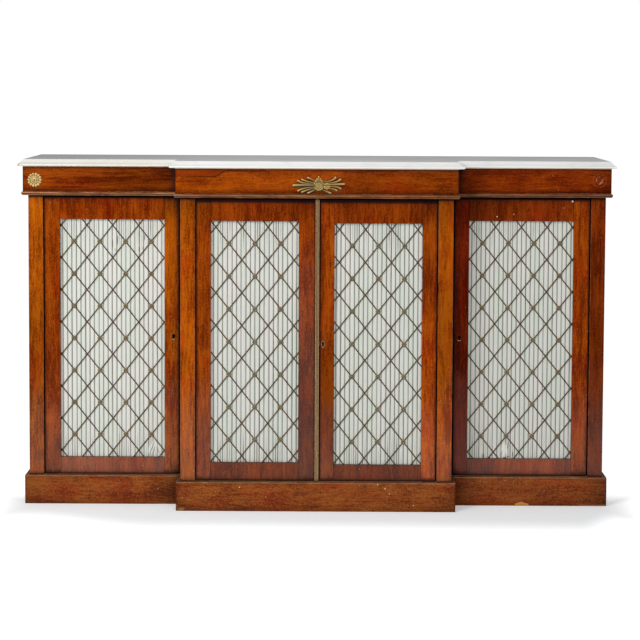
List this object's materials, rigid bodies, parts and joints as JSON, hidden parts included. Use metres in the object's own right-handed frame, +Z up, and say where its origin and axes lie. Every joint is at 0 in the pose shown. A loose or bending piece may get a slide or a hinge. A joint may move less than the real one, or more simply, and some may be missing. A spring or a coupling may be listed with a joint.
{
  "type": "chiffonier",
  "caption": "Low breakfront side cabinet with grille doors over pleated silk, hidden pivot hinges, locks, shelves and a shaped marble top.",
  "frame": {"origin": "on the floor, under the middle of the cabinet's bounding box", "axes": "+X to the right of someone facing the doors, the doors face -Y, +Z up"},
  "size_m": [1.601, 0.4187, 0.933],
  "materials": {
    "mahogany": "gloss",
    "deal": "matte",
    "marble": "satin",
    "silk": "satin",
    "bronzed_wire": "satin",
    "gilt_brass": "satin",
    "brass": "satin",
    "lock_metal": "satin"
  },
  "bodies": {
    "carcass": {"back_boards": "deal", "bottom_boards": "deal", "carcass_pivots": "brass", "centre_frieze": "mahogany", "centre_mount": "gilt_brass", "centre_plinth": "mahogany", "frieze_moulding": "mahogany", "frieze_patera": "gilt_brass", "left_divider": "mahogany", "left_end_panel": "mahogany", "left_frieze": "mahogany", "left_inner_pilaster": "mahogany", "left_outer_pilaster": "mahogany", "left_plinth": "mahogany", "marble_top": "marble", "right_divider": "mahogany", "right_end_panel": "mahogany", "right_frieze": "mahogany", "right_inner_pilaster": "mahogany", "right_outer_pilaster": "mahogany", "right_plinth": "mahogany", "shelves": "deal", "top_boards": "deal"},
    "left_wing_door": {"left_wing_door_grille": "bronzed_wire", "left_wing_door_hinge_stile": "mahogany", "left_wing_door_lock": "lock_metal", "left_wing_door_lock_stile": "mahogany", "left_wing_door_pivot_plates": "brass", "left_wing_door_rails": "mahogany", "left_wing_door_silk": "silk", "left_wing_door_silk_battens": "deal"},
    "centre_left_door": {"centre_left_door_astragal": "brass", "centre_left_door_bolt_plate": "brass", "centre_left_door_grille": "bronzed_wire", "centre_left_door_hinge_stile": "mahogany", "centre_left_door_meeting_stile": "mahogany", "centre_left_door_pivot_plates": "brass", "centre_left_door_rails": "mahogany", "centre_left_door_silk": "silk", "centre_left_door_silk_battens": "deal"},
    "centre_right_door": {"centre_right_door_grille": "bronzed_wire", "centre_right_door_hinge_stile": "mahogany", "centre_right_door_lock": "lock_metal", "centre_right_door_lock_stile": "mahogany", "centre_right_door_pivot_plates": "brass", "centre_right_door_rails": "mahogany", "centre_right_door_silk": "silk", "centre_right_door_silk_battens": "deal"},
    "right_wing_door": {"right_wing_door_grille": "bronzed_wire", "right_wing_door_hinge_stile": "mahogany", "right_wing_door_lock": "lock_metal", "right_wing_door_lock_stile": "mahogany", "right_wing_door_pivot_plates": "brass", "right_wing_door_rails": "mahogany", "right_wing_door_silk": "silk", "right_wing_door_silk_battens": "deal"},
    "left_wing_bolt": {"left_wing_door_lock_bolt": "brass"},
    "centre_right_bolt": {"centre_right_door_lock_bolt": "brass"},
    "right_wing_bolt": {"right_wing_door_lock_bolt": "brass"},
    "dead_leaf_bolt": {"centre_left_door_flush_bolt": "brass"}
  },
  "joints": [
    {"name": "left_wing_door_hinge", "type": "hinge", "parent": "carcass", "child": "left_wing_door", "pos_m": [-0.7215, -0.09265, 0], "axis": [0, 0, -1], "range_deg": [0, 105]},
    {"name": "centre_left_door_hinge", "type": "hinge", "parent": "carcass", "child": "centre_left_door", "pos_m": [-0.30735, -0.17335, 0], "axis": [0, 0, -1], "range_deg": [0, 105]},
    {"name": "centre_right_door_hinge", "type": "hinge", "parent": "carcass", "child": "centre_right_door", "pos_m": [0.30735, -0.17335, 0], "axis": [0, 0, 1], "range_deg": [0, 105]},
    {"name": "right_wing_door_hinge", "type": "hinge", "parent": "carcass", "child": "right_wing_door", "pos_m": [0.7215, -0.09265, 0], "axis": [0, 0, 1], "range_deg": [0, 105]},
    {"name": "left_wing_bolt_throw", "type": "slide", "parent": "left_wing_door", "child": "left_wing_bolt", "axis": [1, 0, 0], "range_m": [0, 0.01]},
    {"name": "centre_right_bolt_throw", "type": "slide", "parent": "centre_right_door", "child": "centre_right_bolt", "axis": [-1, 0, 0], "range_m": [0, 0.01]},
    {"name": "right_wing_bolt_throw", "type": "slide", "parent": "right_wing_door", "child": "right_wing_bolt", "axis": [-1, 0, 0], "range_m": [0, 0.01]},
    {"name": "dead_leaf_bolt_throw", "type": "slide", "parent": "centre_left_door", "child": "dead_leaf_bolt", "axis": [0, 0, 1], "range_m": [0, 0.01]}
  ]
}
